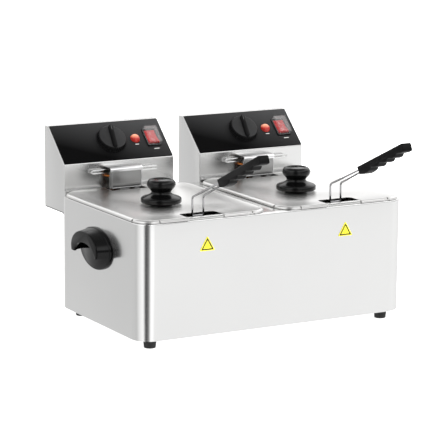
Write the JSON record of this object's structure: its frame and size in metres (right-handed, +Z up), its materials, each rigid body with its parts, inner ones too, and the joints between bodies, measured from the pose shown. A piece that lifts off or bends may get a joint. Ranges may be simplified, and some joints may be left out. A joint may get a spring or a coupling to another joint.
{
  "type": "twin deep fryer",
  "caption": "Countertop electric fryer with two lift-out tanks, lidded wire-handled baskets and two hooked-on control heads.",
  "frame": {"origin": "on the table, under the centre of the whole object in plan", "axes": "+Z up; the front with the basket grips faces -Y, the control heads are at +Y; +X to the right seen from the front"},
  "size_m": [0.5428, 0.5538, 0.3288],
  "materials": {
    "brushed_steel": "brushed sheet",
    "tank_steel": "satin pressed sheet",
    "bright_steel": "bright sheet",
    "chrome": "plated wire",
    "black_plastic": "moulded, semi-matt",
    "black_gloss": "polished",
    "fascia_black": "satin printed panel",
    "rubber": "moulded",
    "element_metal": "heat-stained sheath",
    "copper": "drawn tube",
    "rocker_red": "translucent moulding",
    "lamp_orange": "translucent dome",
    "clear_cover": "clear soft moulding",
    "ceramic": "unglazed",
    "label": "printed film"
  },
  "bodies": {
    "casing": {"casing_shell": "brushed_steel", "base_plate": "brushed_steel", "foot_front_left": "rubber", "foot_front_right": "rubber", "foot_rear_left": "rubber", "foot_rear_right": "rubber", "side_handle_left": "black_plastic", "side_handle_right": "black_plastic", "left_label": "label", "right_label": "label"},
    "left_tank_body": {"left_tank": "tank_steel"},
    "left_head_body": {"left_head_shell": "brushed_steel", "left_head_cover": "brushed_steel", "left_head_hook": "brushed_steel", "left_cable_gland": "black_plastic", "left_fascia": "fascia_black", "left_thermostat_body": "ceramic", "left_thermostat_probe": "copper", "left_lamp_lens": "lamp_orange", "left_lamp_body": "black_plastic", "left_switch_body": "black_plastic", "left_switch_cover": "clear_cover", "left_heating_element": "element_metal", "left_element_bracket": "bright_steel", "left_hanger_loop": "chrome", "left_terminal_block": "ceramic"},
    "left_knob_body": {"left_thermostat_knob": "black_plastic", "left_thermostat_shaft": "bright_steel"},
    "left_rocker_body": {"left_switch_rocker": "rocker_red"},
    "left_basket_body": {"left_basket": "chrome", "left_basket_grip": "black_plastic"},
    "left_lid_body": {"left_lid": "brushed_steel", "left_lid_knob": "black_gloss", "left_lid_knob_screw": "bright_steel"},
    "right_tank_body": {"right_tank": "tank_steel"},
    "right_head_body": {"right_head_shell": "brushed_steel", "right_head_cover": "brushed_steel", "right_head_hook": "brushed_steel", "right_cable_gland": "black_plastic", "right_fascia": "fascia_black", "right_thermostat_body": "ceramic", "right_thermostat_probe": "copper", "right_lamp_lens": "lamp_orange", "right_lamp_body": "black_plastic", "right_switch_body": "black_plastic", "right_switch_cover": "clear_cover", "right_heating_element": "element_metal", "right_element_bracket": "bright_steel", "right_hanger_loop": "chrome", "right_terminal_block": "ceramic"},
    "right_knob_body": {"right_thermostat_knob": "black_plastic", "right_thermostat_shaft": "bright_steel"},
    "right_rocker_body": {"right_switch_rocker": "rocker_red"},
    "right_basket_body": {"right_basket": "chrome", "right_basket_grip": "black_plastic"},
    "right_lid_body": {"right_lid": "brushed_steel", "right_lid_knob": "black_gloss", "right_lid_knob_screw": "bright_steel"}
  },
  "joints": [
    {"name": "left_tank_lift", "type": "slide", "parent": "casing", "child": "left_tank_body", "axis": [0, 0, 1], "range_m": [0, 0.165]},
    {"name": "left_head_lift", "type": "slide", "parent": "left_tank_body", "child": "left_head_body", "axis": [0, 0, 1], "range_m": [0, 0.165]},
    {"name": "left_basket_lift", "type": "slide", "parent": "left_head_body", "child": "left_basket_body", "axis": [0, 0, 1], "range_m": [0, 0.16]},
    {"name": "left_lid_lift", "type": "slide", "parent": "left_basket_body", "child": "left_lid_body", "axis": [0, 0, 1], "range_m": [0, 0.12]},
    {"name": "left_thermostat_turn", "type": "hinge", "parent": "left_head_body", "child": "left_knob_body", "pos_m": [-0.13, 0.23088, 0.2775], "axis": [0, 0.6768, -0.7362], "range_deg": [0, 270]},
    {"name": "left_switch_rock", "type": "hinge", "parent": "left_head_body", "child": "left_rocker_body", "pos_m": [-0.053, 0.23054, 0.27787], "axis": [1, 0, 0], "range_deg": [0, 14]},
    {"name": "right_tank_lift", "type": "slide", "parent": "casing", "child": "right_tank_body", "axis": [0, 0, 1], "range_m": [0, 0.165]},
    {"name": "right_head_lift", "type": "slide", "parent": "right_tank_body", "child": "right_head_body", "axis": [0, 0, 1], "range_m": [0, 0.165]},
    {"name": "right_basket_lift", "type": "slide", "parent": "right_head_body", "child": "right_basket_body", "axis": [0, 0, 1], "range_m": [0, 0.16]},
    {"name": "right_lid_lift", "type": "slide", "parent": "right_basket_body", "child": "right_lid_body", "axis": [0, 0, 1], "range_m": [0, 0.12]},
    {"name": "right_thermostat_turn", "type": "hinge", "parent": "right_head_body", "child": "right_knob_body", "pos_m": [0.127, 0.23088, 0.2775], "axis": [0, 0.6768, -0.7362], "range_deg": [0, 270]},
    {"name": "right_switch_rock", "type": "hinge", "parent": "right_head_body", "child": "right_rocker_body", "pos_m": [0.204, 0.23054, 0.27787], "axis": [1, 0, 0], "range_deg": [0, 14]}
  ]
}
